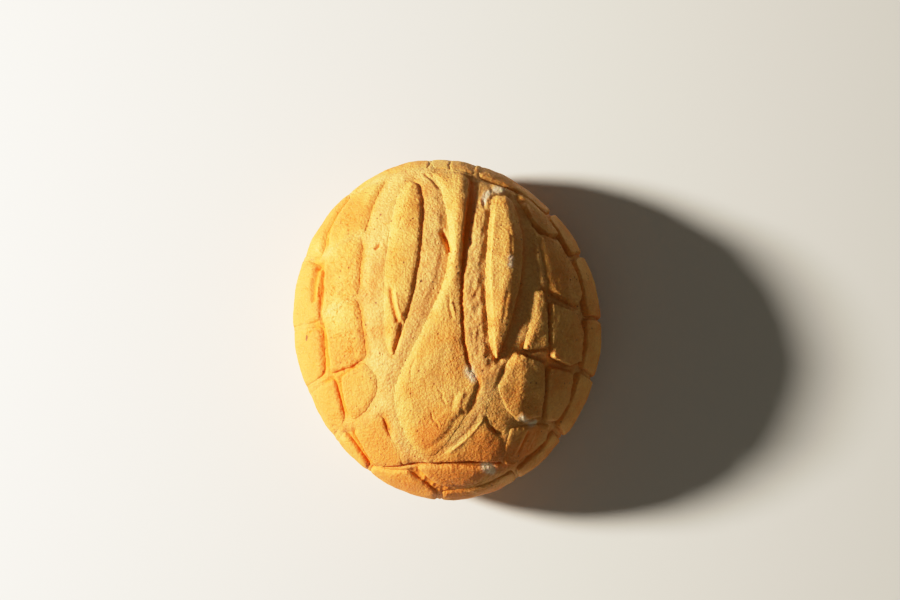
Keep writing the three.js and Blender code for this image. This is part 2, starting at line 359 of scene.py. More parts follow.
SEAMS = [
    # faint cuts between the left blocks, and the deep one under them
    Seam([(-46, 24.5), (-38, 28), (-30.5, 28.8)], 2.0, 2.5, 0.15, 0.6, 0.1, 0.1),
    Seam([(-47.5, 3.3), (-39, 5.8), (-32, 8)], 2.0, 2.5, 0.1, 0.5, 0.1, 0.1),
    Seam([(-48.5, -18), (-42, -17.2), (-37, -16), (-34, -15)], 2.0, 1.5, 0.4, 1.4, 0.1, 0.7),
    Seam([(-33, -14.5), (-29, -13.5)], 2.5, 2.0, 0.3, 1.8, 0.1, 0.3),
    # on their outer side
    Seam([(-48, 24), (-47.8, 33), (-44, 43), (-38, 50)], 2.5, 1.7, 0.4, 2.6, 0.1, 1.0),
    Seam([(-48.6, 21), (-48.8, 12), (-48.6, 2)], 2.5, 1.4, 0.2, 2.6, 0.1, 1.0),
    Seam([(-47.6, -3), (-47.4, -9), (-47.2, -18)], 2.5, 1.3, 0.4, 2.4, 0.1, 1.0),
    # their soft step down to the band
    Seam([(-22, 52), (-27.3, 44), (-30, 31), (-31, 18), (-32, 8), (-30.3, -12)],
         2.5, 1.7, 0.1, 3.0, 0.1, 1.5),
    Seam([(-20.5, 51), (-25, 38), (-26.5, 24), (-27, 8), (-26.5, -8), (-23.5, -24)],
         3, 2.3, 0.1, 3.0, 0.2, 0.0),
    # round the block below them and the first front block
    Seam([(-43, -18), (-42.8, -26), (-41.5, -34)], 2.0, 1.5, 0.5, 1.6, 0.2, 0.9),
    Seam([(-28.5, -16.5), (-26.2, -20), (-27.2, -26), (-33, -32.5), (-40, -35.5)],
         2.5, 1.9, 0.1, 2.5, 0.1, 0.35),
    Seam([(-46, -36), (-38, -36.5), (-31, -35.5), (-25, -31.5), (-22, -28)],
         2.5, 2.45, 0.05, 2.5, 0.1, 0.0),
    Seam([(-39.5, -39), (-37, -46), (-34, -52)], 2.5, 1.2, 0.6, 1.6, 0.8, 0.9),
    Seam([(-24.6, -33), (-22.8, -38)], 1.8, 1.9, 0.5, 1.2, 0.1, 1.5),
    Seam([(-22, -40), (-18, -47), (-18, -51)], 2.2, 2.4, 0.05, 1.2, 0.1, 0.2),
    # round the left leaf
    Seam([(-14.5, 51.8), (-19, 43), (-21.8, 24), (-23.3, 6), (-23.8, -8)], 2.0, 2.25, 0.05, 4.5, 0.2, 0.0),
    Seam([(-12, 52), (-8.6, 46.5), (-7.5, 36), (-8.5, 22), (-11.6, 6), (-16.2, -4)],
         2.0, 2.0, 0.25, 1.7, 0.2, 1.2),
    Seam([(-17, -5), (-21, -14)], 2.0, 2.25, 0.1, 1.8, 0.2, 2.5),
    # the band between the left leaf and the bell, and the bell's left edge
    Seam([(-9, 54), (-4.5, 46), (-4, 36), (-5, 22), (-8.5, 8), (-14, -4), (-20, -16)],
         2.5, 2.1, 0.0, 2.0, 0.25, 0.0),
    Seam([(-4.5, 52.5), (-1.2, 47), (0.3, 38)], 1.8, 1.9, 0.1, 2.6, 0.3, 0.2),
    Seam([(0.4, 36), (0.8, 26), (-0.8, 14), (-4.8, 4.5)], 1.8, 1.4, 0.2, 2.6, 0.3, 0.5),
    Seam([(-5.7, 2.8), (-15.5, -12.5), (-21, -22)], 2.2, 1.5, 0.1, 4.0, 0.1, 0.0),
    Seam([(-21.3, -24), (-20.3, -33), (-13.5, -45)], 2.5, 2.1, 0.1, 4.5, 0.1, 0.0),
    # the deep cut right of the neck, the torn band beside it, the ragged cut before the right leaf, and
    # the band's two ends
    Seam([(11, 54), (10.6, 44), (8.8, 36), (7.6, 28)], 2.2, 0.7, 0.0, 1.5, 0.1, 1.2),
    Seam([(7, 24), (6.6, 18)], 1.7, 1.4, 0.3, 1.0, 0.1, 1.2),
    Seam([(6.2, 16), (5.9, 8), (5.9, -4), (7.4, -14.5)], 1.5, 2.1, 0.6, 0.7, 0.1, 1.4),
    Seam([(15.2, 48), (14.4, 42), (13, 34), (11.4, 28)], 1.7, 1.6, 0.0, 2.0, 0.8, 0.0),
    Seam([(9.7, 22), (8.7, 10), (8.7, -5), (11, -16)], 1.8, 2.2, 0.0, 2.0, 0.5, 0.0),
    Seam([(17, 47.5), (15.6, 43), (13.4, 33), (11.8, 20), (11.6, 6), (12, -5), (14, -16)],
         1.6, 2.1, 0.0, 4.0, 0.85, 0.0),
    Seam([(16.2, 37), (15.6, 33), (13.8, 18), (13.8, 4), (14.6, -8), (16, -15)],
         0.9, 1.7, 0.3, 4.0, 0.5, 0.6),
    Seam([(16, -18), (14.5, -24), (11, -31)], 2.5, 2.5, 0.1, 2.0, 0.1, 0.0),
    Seam([(16, 49.5), (20, 49.8), (25, 49.5)], 2.2, 2.2, 0.1, 1.5, 0.2, 0.0),
    Seam([(29.5, 47.5), (32, 44.5)], 1.6, 1.9, 0.1, 3.0, 0.1, 0.2),
    # round the right leaf
    Seam([(26.5, 46.5), (28.2, 44), (30.9, 30), (29.4, 16), (24.9, 1), (19.3, -13.5)],
         2.0, 0.9, 0.2, 1.2, 0.1, 0.4),
    Seam([(33.5, 41), (33.6, 30), (33, 17), (30.5, 6), (25.5, -6)], 2.0, 1.2, 0.0, 1.5, 0.3, 0.1),
    # between the right blocks and round them
    Seam([(30.5, 44.5), (34.3, 36.5)], 1.6, 1.4, 0.4, 1.6, 0.1, 0.3),
    Seam([(36, 34.5), (40.5, 31), (46.5, 30.3)], 1.6, 0.5, 0.7, 0.6, 0.1, 0.2),
    Seam([(35.2, 32), (37, 22), (38.3, 10.5)], 1.5, 2.2, 0.3, 3.0, 0.1, 0.4),
    Seam([(38.5, 8.3), (50.5, 3.6)], 1.8, 0.4, 0.8, 0.6, 0.1, 0.2),
    Seam([(37.4, 9), (37.8, 0), (37.9, -11.5)], 1.6, 0.6, 0.7, 1.0, 0.1, 0.2),
    Seam([(38.2, -10.5), (39.5, -13.2)], 1.8, 0.4, 0.8, 0.25, 0.1, 0.2),
    Seam([(26, -10.5), (36.5, -12.8), (46, -16.8), (52, -18)], 1.8, 0.2, 0.8, 0.6, 0.1, 0.2),
    Seam([(37.3, -17), (37.2, -26), (36.3, -35)], 1.8, 0.4, 0.8, 0.6, 0.1, 0.2),
    Seam([(26, -9.5), (30.3, -1), (33, 9)], 1.8, 1.9, 0.2, 2.6, 0.1, 0.2),
    Seam([(17.8, -22), (20.5, -17.5)], 1.8, 2.3, 0.5, 3.0, 0.1, 0.1),
    Seam([(22, -15.5), (25.3, -11.3)], 1.8, 1.6, 0.4, 3.0, 0.1, 0.1),
    Seam([(18.3, -24), (20.5, -29.5), (24.5, -35.5)], 1.8, 2.3, 0.1, 1.2, 0.1, 0.2),
    Seam([(18.5, -25.5), (14.8, -27), (13.3, -33)], 1.8, 2.3, 0.0, 2.0, 0.1, 0.0),
    Seam([(25, -36), (34, -36.3), (41.5, -38)], 1.8, 1.6, 0.3, 1.8, 0.1, 0.2),
    Seam([(22.8, -37), (21, -43), (20.2, -50)], 1.8, 2.3, 0.1, 1.5, 0.3, 0.6),
    Seam([(38, 47.5), (44, 40.5), (49, 32), (53, 22), (55.3, 8), (55, -6), (53, -17), (49, -27), (43.5, -38)],
         1.8, 0.5, 0.8, 0.6, 0.1, 0.2),
    Seam([(41.5, -40), (38, -47), (30, -53)], 2.0, 1.3, 0.4, 1.2, 0.1, 0.5),
    # round the belly, the plates below it and the long crease
    Seam([(12.4, -20.5), (10.4, -25), (7.5, -30)], 1.8, 2.5, 0.4, 1.8, 0.05, 4.0),
    Seam([(8, -31), (2, -38.5), (-6, -47), (-12, -46)], 2.2, 2.2, 0.0, 4.0, 0.05, 0.0),
    Seam([(12.5, -32), (7.5, -38.3), (-7, -48.5)], 1.8, 2.4, 0.2, 1.8, 0.05, 0.1),
    Seam([(-31, -54.2), (-19, -51.6), (-10, -49.5), (8, -49.3), (20, -50.8), (27, -53.5)],
         2.0, 1.5, 0.4, 1.2, 0.1, 0.4),
    Seam([(-13.5, -52), (-8, -58), (-2, -61.5)], 2.0, 1.5, 0.1, 1.6, 0.9, 1.2),
    Seam([(4, -61.5), (12, -60), (19, -53.5)], 2.5, 1.8, 0.2, 1.8, 0.1, 0.2),
    # the lowest course: at the far end, on the left, in front and on the right
    Seam([(-38, 51.5), (-30, 54), (-18, 56.8), (-7, 56.8)], 2.5, 2.2, 0.0, 2.5, 0.1, 0.2),
    Seam([(-5.4, 57.5), (-5.6, 66)], 2.0, 2.4, 0.2, 0.7, 0.1, 0.6),
    Seam([(-3.5, 56.5), (4, 56.6), (12, 54.8)], 2.2, 2.2, 0.2, 2.0, 0.1, 0.2),
    Seam([(12.5, 55.5), (13.5, 60), (16, 70)], 2.6, 2.6, 0.0, 0.6, 0.1, 0.3),
    Seam([(15, 54.3), (22, 52.3), (30, 51.3), (38, 47)], 2.2, 1.4, 0.4, 1.5, 0.1, 0.4),
    Seam([(-46, 58), (-62, 36), (-66, 10), (-64, -15), (-56, -38), (-46, -54)],
         9, 2.2, 0.15, 1.8, 0.1, 0.1),
    Seam([(-28, -66), (0, -70), (28, -64)], 8, 1.8, 0.3, 1.6, 0.1, 0.3),
    Seam([(-30, 66), (0, 70), (24, 66)], 8, 1.8, 0.3, 1.6, 0.1, 0.3),
    Seam([(42, 54), (60, 34), (68, 5), (64, -26), (48, -52)], 9, 1.2, 0.6, 1.0, 0.1, 0.2),
]
PLAIN = Seam([], 0, 1.5, 0.5, 1.2, 0.2, 0.4)  # away from all of them
PLAIN_WEIGHT = 0.0005
HEM = 82.5  # the paste's lowest edge, from the top of the crown over the surface
HEM_BAND = 0.5  # how high the dough swells below the hem
BAND_FADES = (HEM + 1, HEM - 5)  # between these it rises to what the seams say


def along_seams(x, y):
    """The seams' band, cut, edge, torn and browning with painted shade at map places x, y.

    Nearer and narrower seams count for more.
    """
    total = np.full(len(x), PLAIN_WEIGHT)
    mixed = PLAIN_WEIGHT * np.array(PLAIN[2:])[:, None] * np.ones(len(x))
    for seam in SEAMS:
        near = close_to(x, y, seam.path, FADED * seam.reach)
        away = distance_to(x[near], y[near], seam.path) / seam.reach
        weight = np.exp(-(away**2)) / seam.reach**2
        total[near] += weight
        mixed[:, near] += weight * np.array(seam[2:])[:, None]
    mixed /= total
    above_hem = ramp(np.hypot(x, y), *BAND_FADES)
    mixed[0] = mixed[0] * above_hem + HEM_BAND * (1 - above_hem)
    return mixed


# ---- the plates of paste ----

# its thickness, how far the middle rises above that, how ragged the outline is, how far it has spread in
# baking, and how round its corners are
Paste = namedtuple("Paste", "thickness swell ragged grow round")

PASTES = {
    "centre_plate": Paste(2.3, 0.6, 0.22, 0.2, 1),
    "leaf": Paste(2.5, 0.9, 0.22, 0.2, 1),
    "left_block": Paste(2.3, 0.2, 0.22, 0.5, 0.6),
    "right_block_7": Paste(2.1, 0.2, 0.18, 0.9, 1),
    "right_block": Paste(2.5, 0.1, 0.2, 0.6, 0.2),
    "front_block": Paste(2.3, 0.3, 0.17, 0.4, 0.8),
    "rim_block": Paste(2.2, 0.3, 0.14, 0.5, 0.6),
}
SEAT_TOP = 0.5  # a solid's underside lies within this of the dough
WELD = 0.01  # a solid's corners closer than this are one
OUTLINE_STEP = 0.3
PASTE_STEP = 0.32
CLEAR = 0.6  # steps between an outline and the nearest place in it
ONLY_INSIDE = 1  # the triangulation keeps what lies in the outline
SAME_PLACE = 1e-7  # places closer than this count as one
PASTE_ROOT = -1.2  # the height of a plate's underside, which lies in the dough
PASTE_ROOT_STEP = 2.5
THINNED = 0.4  # the share of its thickness that a plate loses towards the hem
THINNED_OVER = 14  # the distance in which it thins
ROUND_EDGE, SOFT_EDGE = 1, 2.5  # an edge this narrow is a quarter round, and one this wide falls off softly
SWELL_REACH = 3.5  # how far in from the edge most of a plate's swell is reached
FULL_WALL = 1.2  # an edge this high is as crumbly as any
CRUMB_REACH = 0.8  # how far in from the edge it crumbles
LEAST_CRUMBS = 0.1  # how crumbly an edge is that has no height
DEEP_CUT = 1.8  # a cut this deep gets the most browning and painted shade
CREASE_BROWN_AND_SHADE = 0.7  # how far a deep crease is browned and painted with shade
# how much warmer the crust gets down the side, and from where to where: to the hem, below it, and to the foot
LOWER_CRUST = [(0.8, 56, 78), (-0.9, HEM + 1, HEM + 6), (1.2, HEM + 11, ALONG[-1])]
WALL_BROWN_AND_SHADE = 0.25  # how far browning and painted shade reach on to a plate from its wall
EDGE_BROWN_AND_SHADE = 0.35  # how much further it reaches for each mm of rounded edge
BLEND = 1.3  # over which the paste's colour gives way to the dough's
BLENDED = 0.5  # how much of it gives way at the very edge


def paste_of(node):
    return PASTES[next(family for family in PASTES if node.startswith(family))]


def node_outline(node):
    """A plate's outline on the map, counter-clockwise, from the lower edge of its solid."""
    solid = bmesh.new()
    solid.from_mesh(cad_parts[node].data)
    bmesh.ops.remove_doubles(solid, verts=solid.verts, dist=WELD * MM)
    solid.verts.index_update()
    places, lifts = off_bun(np.array([vert.co for vert in solid.verts]) / MM)
    low = lifts < SEAT_TOP
    following = {}
    for edge in solid.edges:
        below = [face for face in edge.link_faces if all(low[vert.index] for vert in face.verts)]
        if len(below) == 1:
            loop = next(loop for loop in below[0].loops if loop.edge == edge)
            following[loop.link_loop_next.vert.index] = loop.vert.index
    solid.free()
    chain = [next(iter(following))]
    for _ in range(len(following) - 1):
        chain.append(following[chain[-1]])
    return places[chain]


def rounded(points, step, share):
    """A closed curve through points, in places about a step apart: straight at share 0, smooth at 1.

    Each smooth stretch, from b to c, is a Catmull-Rom curve.
    """
    before, after, beyond = (np.roll(points, shift, axis=0) for shift in (1, -1, -2))
    found = []
    for a, b, c, d in zip(before, points, after, beyond):
        part = np.linspace(0, 1, max(2, round(math.dist(b, c) / step)), endpoint=False)[:, None]
        squared, cubed = (2 * a - 5 * b + 4 * c - d) * part**2, (3 * b - a - 3 * c + d) * part**3
        smooth = (2 * b + (c - a) * part + squared + cubed) / 2
        straight = b + (c - b) * part
        found.append(straight + share * (smooth - straight))
    return np.concatenate(found)


def spread(outline, grow, ragged):
    """An outline that has grown a little in baking, and wanders as a baked paste's edge does."""
    side = np.roll(outline, -1, axis=0) - np.roll(outline, 1, axis=0)
    normal = np.stack([side[:, 1], -side[:, 0]], axis=1) / np.linalg.norm(side, axis=1, keepdims=True)
    at = on_bun(*outline.T, 0)
    wander = ragged * (WANDER.of(MIDDLE.smooth, at) + NIBBLES.of(FINE.smooth, at))
    return outline + normal * (grow + wander)[:, None]


def lattice(low, high, step):
    """Places in staggered rows, a step apart."""
    xs = np.arange(low[0], high[0], step)
    ys = np.arange(low[1], high[1], step * math.sqrt(3) / 2)
    x, y = np.meshgrid(xs, ys)
    x = x + step / 2 * (np.arange(len(ys)) % 2)[:, None]
    return np.stack([x.ravel(), y.ravel()], axis=1)


def joined(outline, places):
    """An outline and places in it, the outline first, and the triangles between them."""
    every = [Vector(place) for place in np.concatenate([outline, places])]
    made = geometry.delaunay_2d_cdt(every, [], [list(range(len(outline)))], ONLY_INSIDE, SAME_PLACE)
    return np.array(made[0]), np.array(made[2])


def filled(outline, step):
    """An outline filled with places a step apart, and the triangles between them."""
    places = lattice(outline.min(axis=0), outline.max(axis=0), step)
    places = places[inside(*places.T, outline)]
    return joined(outline, places[distance_to(*places.T, outline, closed=True) > CLEAR * step])


def skin(x, y, at):
    """Unevenness that runs on through paste and dough: slow swelling, a sandy grain, and the creases."""
    slow = SWELLING.of(BROAD.rough, at)
    uneven = DENTS.of(TEAR.smooth, at) + WRINKLES.of(MIDDLE.rough, at)
    grains = GRAINS.height * (GRAIN_RIM - FINE.lumps(at / GRAINS.size)) + SAND.of(FINE.smooth, at)
    ridges = CRACKLE_RIM - np.abs(MIDDLE.smooth(at / CRACKLE.size))
    crackle = CRACKLE.height * spotted(x, y, CRACKLED) * ridges
    return slow + uneven + grains + crackle + marked(x, y)


def torn_crumb(at):
    """Soft billows where dough has pulled apart, longer than they are wide, with smaller lumps on them."""
    bend = BILLOW_BEND.of(MIDDLE.smooth, at)[:, None]
    billows = BILLOW_RIM - np.abs(TEAR.smooth(at / BILLOWS.size + bend))
    return BILLOWS.height * billows + LUMPS.of(MIDDLE.smooth, at)


def browning_and_shade(distance, reach, depth, brown):
    """How browned a place is, with painted shade and an orange glow, by its distance from a cut's wall and
    the cut's depth: about 1 is full crust.
    """
    return brown * np.exp(-((distance / reach) ** 2)) * np.clip(depth / DEEP_CUT, 0, 1)


def paste_lift(x, y, at, inward, paste):
    """Height of a plate's upper surface over the dough's plain surface, and how browned each place is, with
    painted shade.
    """
    band, cut, edge, _, brown = along_seams(x, y)
    edge_level = band - cut
    thickness = paste.thickness * (1 - THINNED * ramp(np.hypot(x, y), HEM - THINNED_OVER, HEM))
    part = np.clip(inward / edge, 0, 1)
    soft = np.sin(np.pi / 2 * part)
    shoulder = soft + ramp(edge, SOFT_EDGE, ROUND_EDGE) * (np.sqrt(1 - (1 - part) ** 2) - soft)
    swell_up = paste.swell * (1 - np.exp(-inward / SWELL_REACH))
    depth = thickness - edge_level
    crumbs = CRUMBS.height * paste.ragged * np.clip(depth / FULL_WALL, LEAST_CRUMBS, 1)
    crumbs = crumbs * FINE.rough(at / CRUMBS.size) * np.exp(-inward / CRUMB_REACH)
    lift = edge_level + depth * shoulder + swell_up + crumbs + skin(x, y, at)
    return lift, browning_and_shade(inward, WALL_BROWN_AND_SHADE + EDGE_BROWN_AND_SHADE * edge, depth, brown)


def add_mesh(name, points, face_groups, marks):
    """A smooth mesh object from points in mm and groups of triangles or quads.

    Marks are named values at every point, which the finish reads.
    """
    mesh = bpy.data.meshes.new(name)
    corners = np.concatenate([group.ravel() for group in face_groups]).astype(np.int32)
    sizes = np.concatenate([np.full(len(group), group.shape[1]) for group in face_groups])
    mesh.vertices.add(len(points))
    mesh.vertices.foreach_set("co", (points * MM).astype(np.float32).ravel())
    mesh.loops.add(len(corners))
    mesh.loops.foreach_set("vertex_index", corners)
    mesh.polygons.add(len(sizes))
    mesh.polygons.foreach_set("loop_start", (np.cumsum(sizes) - sizes).astype(np.int32))
    mesh.polygons.foreach_set("use_smooth", np.ones(len(sizes), bool))
    for mark, values in marks.items():
        mesh.attributes.new(mark, "FLOAT", "POINT").data.foreach_set("value", values.astype(np.float32))
    mesh.update(calc_edges=True)
    mesh.validate()
    piece = bpy.data.objects.new(name, mesh)
    bpy.context.scene.collection.objects.link(piece)
    return piece


def lower_crust(along):
    """How much warmer the crust is towards the hem and at the foot, with a paler waist between them."""
    return sum(warmer * ramp(along, start, end) for warmer, start, end in LOWER_CRUST)


def readings(x, y, brown, bare, extra):
    """What the finish reads at every point. The extra points at the end are plain.

    It is how browned (with painted shade), how bare of paste, how sugared (with painted sheen), how speckled,
    how crackled and how warm (with painted light and shade) the place is.
    """
    found = {
        # browned in cuts and creases, partly painted shade with an orange glow
        "brown": np.maximum(brown, CREASE_BROWN_AND_SHADE * hollow(x, y)),
        "bare": bare,
        # sugar spots, which also paint a sheen
        "sugar": spotted(x, y, SUGAR_AND_SHEEN),
        "speck": spotted(x, y, SPECKS),
        "crackle": spotted(x, y, CRACKLED),
        # warmer and paler tones, partly painted shade and painted light
        "warm_and_painted_light": spotted(x, y, WARMER_AND_PAINTED_SHADE) - spotted(x, y, PALER_AND_PAINTED_LIGHT) + lower_crust(np.hypot(x, y)),
    }
    return {name: np.concatenate([values, np.zeros(extra)]) for name, values in found.items()}


def paste_plate(node, outline, paste):
    """One plate: a fine upper surface, sides that reach into the dough, and a coarser underside."""
    top, top_faces = filled(outline, PASTE_STEP)
    count = len(outline)
    inward = distance_to(*top.T, outline, closed=True)
    inward[:count] = 0
    at = on_bun(*top.T, 0)
    lift, brown = paste_lift(*top.T, at, inward, paste)
    bottom, bottom_faces = filled(outline, PASTE_ROOT_STEP)
    this, following = np.arange(count), (np.arange(count) + 1) % count
    shift = len(top)
    sides = np.stack([this, this + shift, following + shift, following], axis=1)
    points = np.concatenate([on_bun(*top.T, lift), on_bun(*bottom.T, PASTE_ROOT)])
    marks = readings(*top.T, brown, BLENDED * np.exp(-inward / BLEND), len(bottom))
    return add_mesh(f"{node}_paste", points, [top_faces, bottom_faces[:, ::-1] + shift, sides], marks)


outlines = {}
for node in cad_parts:
    if node != "bun":
        paste = paste_of(node)
        curve = rounded(node_outline(node), OUTLINE_STEP, paste.round)
        outlines[node] = spread(curve, paste.grow, paste.ragged)

# ---- the dough ----

DOUGH_STEP = 0.4  # in the open bands
HIDDEN_STEP = 2.2  # under the plates
SKIRT_STEP = 0.8  # on the skirt, which is the smooth dough below the hem
SKIRT_START = HEM + 3
RIM_POINTS = 520  # round the foot
LEVEL_FADES = (HEM + 2, HEM - 3)  # between these the dough rises to its band, and tears
HIDDEN_EDGE = 1.4  # how far the fine dough reaches under a plate
SUNK = 1.8  # how far the dough is pressed down under a plate
SUNK_FROM, SUNK_TO = 0.25, 1.1  # how far in from the plate's edge it starts, and is pressed down in full
CUT_SIDE = 1.8  # width of the dough's slope down to a plate
TEAR_CLEAR = 1.2  # how far from a plate the dough is torn in full
PASTE_LEVEL = 2.4  # about how high a plate stands
DOUGH_BROWN_AND_SHADE = 2.6  # how far browning and painted shade reach over the dough
PLAIN_FOOT, UNEVEN_ABOVE = 1, 7  # how far up from the foot's rim the dough is plain, and uneven in full
FOOT_RINGS = (0.97, 0.85, 0.5)  # rings of points on the flat foot, as shares of its rim


def plate_distances(x, y):
    """Distance from map places to the nearest plate's outline, negative under a plate."""
    every = np.concatenate(list(outlines.values()))
    tree = kdtree.KDTree(len(every))
    for i, place in enumerate(every):
        tree.insert((place[0], place[1], 0), i)
    tree.balance()
    gap = np.array([tree.find((px, py, 0))[2] for px, py in zip(x, y)])
    for outline in outlines.values():
        near = close_to(x, y, outline, 0)
        under = near[inside(x[near], y[near], outline)]
        gap[under] *= -1
    return gap


def dough_places():
    """Map places for the dough's points, closest together where the dough shows between the plates."""
    end = ALONG[-1]
    turn = np.linspace(0, 2 * np.pi, RIM_POINTS, endpoint=False)
    rim = end * np.stack([np.cos(turn), np.sin(turn)], axis=1)

    fine, hidden, skirt = (
        lattice((-end, -end), (end, end), step) for step in (DOUGH_STEP, HIDDEN_STEP, SKIRT_STEP)
    )
    fine, hidden = (places[np.hypot(*places.T) <= SKIRT_START] for places in (fine, hidden))
    fine = fine[plate_distances(*fine.T) >= -HIDDEN_EDGE]
    hidden = hidden[plate_distances(*hidden.T) < -HIDDEN_EDGE]
    along = np.hypot(*skirt.T)
    skirt = skirt[(along > SKIRT_START) & (along < end - SKIRT_STEP)]
    return joined(rim, np.concatenate([fine, hidden, skirt]))


def dough_lift(x, y, at, gap):
    """Height of the dough over its plain surface, and how browned each place is, with painted shade."""
    band, cut, _, torn, brown = along_seams(x, y)
    above_hem = ramp(np.hypot(x, y), *LEVEL_FADES)
    level = (band - cut * ramp(gap, CUT_SIDE, 0)) * above_hem
    ragged = torn * torn_crumb(at) * ramp(gap, 0, TEAR_CLEAR) * above_hem
    sunk = SUNK * ramp(-gap, SUNK_FROM, SUNK_TO)
    depth = PASTE_LEVEL - band + cut
    return level + skin(x, y, at) + ragged - sunk, browning_and_shade(np.abs(gap), DOUGH_BROWN_AND_SHADE, depth, brown)


def dough_body():
    """The whole bun of dough: its uneven dome and side, down to the rim of the foot, and the flat foot."""
    places, faces = dough_places()
    x, y = places.T
    at = on_bun(x, y, 0)
    gap = plate_distances(x, y)
    lift, brown = dough_lift(x, y, at, gap)
    above_foot = ramp(np.hypot(x, y), ALONG[-1] - PLAIN_FOOT, ALONG[-1] - UNEVEN_ABOVE)
    upper = on_bun(x, y, lift * above_foot)
    rim = upper[:RIM_POINTS]
    points = np.concatenate([upper, *(rim * (share, share, 0) for share in FOOT_RINGS), [[0, 0, 0]]])
    this, following = np.arange(RIM_POINTS), (np.arange(RIM_POINTS) + 1) % RIM_POINTS
    rings = [0, *(len(upper) + k * RIM_POINTS for k in range(len(FOOT_RINGS)))]
    foot = [
        np.stack([following + outer, this + outer, this + inner, following + inner], axis=1)
        for outer, inner in zip(rings, rings[1:])
    ]
    fan = np.stack([following + rings[-1], this + rings[-1], np.full(RIM_POINTS, len(points) - 1)], axis=1)
    bare = 1 - BLENDED * np.exp(-np.clip(gap, 0, None) / BLEND)
    marks = readings(x, y, brown, bare, len(points) - len(upper))
    return add_mesh("bun_dough", points, [faces, *foot, fan], marks)


# ---- finishes ----


class Reading:
    """A number, place or colour that varies over a surface. Sums on numbers add Math nodes."""

    def __init__(self, finish, socket):
        self.finish, self.socket = finish, socket

    def _math(self, operation, first, second):
        return self.finish.add("ShaderNodeMath", {"operation": operation}, {0: first, 1: second})

    def __add__(self, other):
        return self._math("ADD", self, other)

    def __sub__(self, other):
        return self._math("SUBTRACT", self, other)

    def __rsub__(self, other):
        return self._math("SUBTRACT", other, self)

    def __mul__(self, other):
        return self._math("MULTIPLY", self, other)

    __radd__, __rmul__ = __add__, __mul__

    def between(self, low, high):
        """0 at low, 1 at high, smooth between them. It falls where high is below low."""
        settings = {"interpolation_type": "SMOOTHSTEP"}
        values = {"Value": self, "From Min": low, "From Max": high}
        return self.finish.add("ShaderNodeMapRange", settings, values)


class Finish:
    """A material and the one way to add nodes to it."""

    def __init__(self, name):
        self.material = bpy.data.materials.new(name)
        self.material.use_nodes = True
        self.tree = self.material.node_tree
        self.tree.nodes.clear()

    def add(self, kind, settings=None, values=None, out=0):
        """Adds a node: its settings, then its sockets' values or links. It gives one output's reading."""
        node = self.tree.nodes.new(kind)
        for name, setting in (settings or {}).items():
            setattr(node, name, setting)
        for name, value in (values or {}).items():
            if isinstance(value, Reading):
                self.tree.links.new(value.socket, node.inputs[name])
            else:
                node.inputs[name].default_value = value
        return Reading(self, node.outputs[out]) if node.outputs else None

    def blend(self, share, first, second):
        """One colour turning into another."""
        return self.add("ShaderNodeMix", {"data_type": "RGBA"}, {0: share, 6: first, 7: second}, out=2)

    def attribute(self, name):
        return self.add("ShaderNodeAttribute", {"attribute_name": name}, out="Fac")


def colour(red, green, blue):
    """A colour as it is seen, from 0 to 255, for a socket, by the sRGB curve."""
    return (*((((c / 255 + 0.055) / 1.055) ** 2.4) for c in (red, green, blue)), 1)


PALE_PASTE, BROWN_PASTE = colour(238, 180, 92), colour(230, 150, 58)
PALE_DOUGH, BROWN_DOUGH = colour(238, 185, 106), colour(232, 162, 84)
# a toasted crust, partly painted shade on the side that faces the light, and a bright orange crust that also
# paints a glow in shaded cuts
TOASTED_AND_SHADE, CRUST_AND_GLOW = colour(230, 128, 42), colour(242, 128, 16)
SANDY, GRITTY = colour(246, 212, 146), colour(206, 136, 58)
PORE_BROWN, CRUMB_BROWN = colour(140, 80, 30), colour(92, 44, 18)
# the sugar's white, which also paints a sheen
SUGAR_AND_SHEEN_WHITE = colour(250, 228, 192)
FLOOR_PALE = colour(226, 226, 220)

# about how many of a pattern's features lie along a metre
PATCH_SCALE, SCATTER_SCALE, VEIN_SCALE, PORE_SCALE, GRIT_SCALE, GRAIN_SCALE = 90, 240, 260, 430, 1150, 1300

INSIDE_GLOW = {  # light that goes a little way into the crumb, red further than blue
    "Subsurface Weight": 0.35,
    "Subsurface Radius": (1.0, 0.55, 0.25),
    "Subsurface Scale": 0.0025,
}


